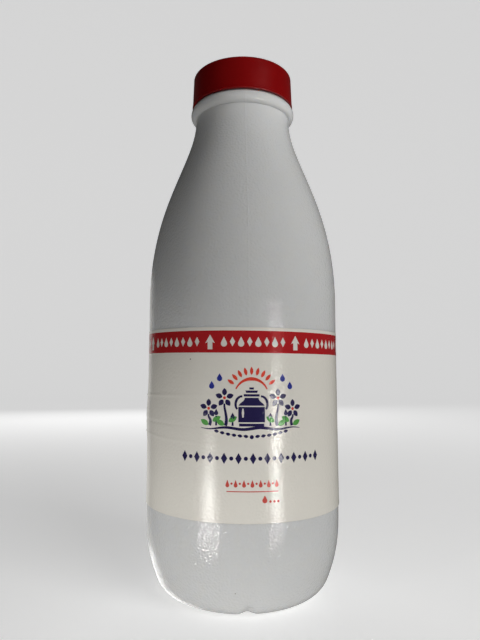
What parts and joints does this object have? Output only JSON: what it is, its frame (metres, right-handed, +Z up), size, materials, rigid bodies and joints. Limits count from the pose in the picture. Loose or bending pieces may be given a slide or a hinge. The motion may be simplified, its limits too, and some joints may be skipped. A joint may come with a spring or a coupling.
{
  "type": "milk bottle",
  "caption": "Shut one-litre plastic milk bottle with a round body, sloping shoulder, neck collar, red screw cap and printed sleeve.",
  "frame": {"origin": "middle of the foot, on the surface that the bottle stands on", "axes": "+Z up the bottle's axis to the cap; -Y is the printed front of the sleeve"},
  "size_m": [0.0868, 0.0868, 0.2359],
  "materials": {
    "milky_plastic": "satin, slightly translucent white with a fine orange-peel texture",
    "red_plastic": "smooth moulded deep red with a soft gloss",
    "printed_film": null
  },
  "bodies": {
    "root": {"bottle": "milky_plastic", "cap": "red_plastic", "label": "printed_film"}
  },
  "joints": []
}
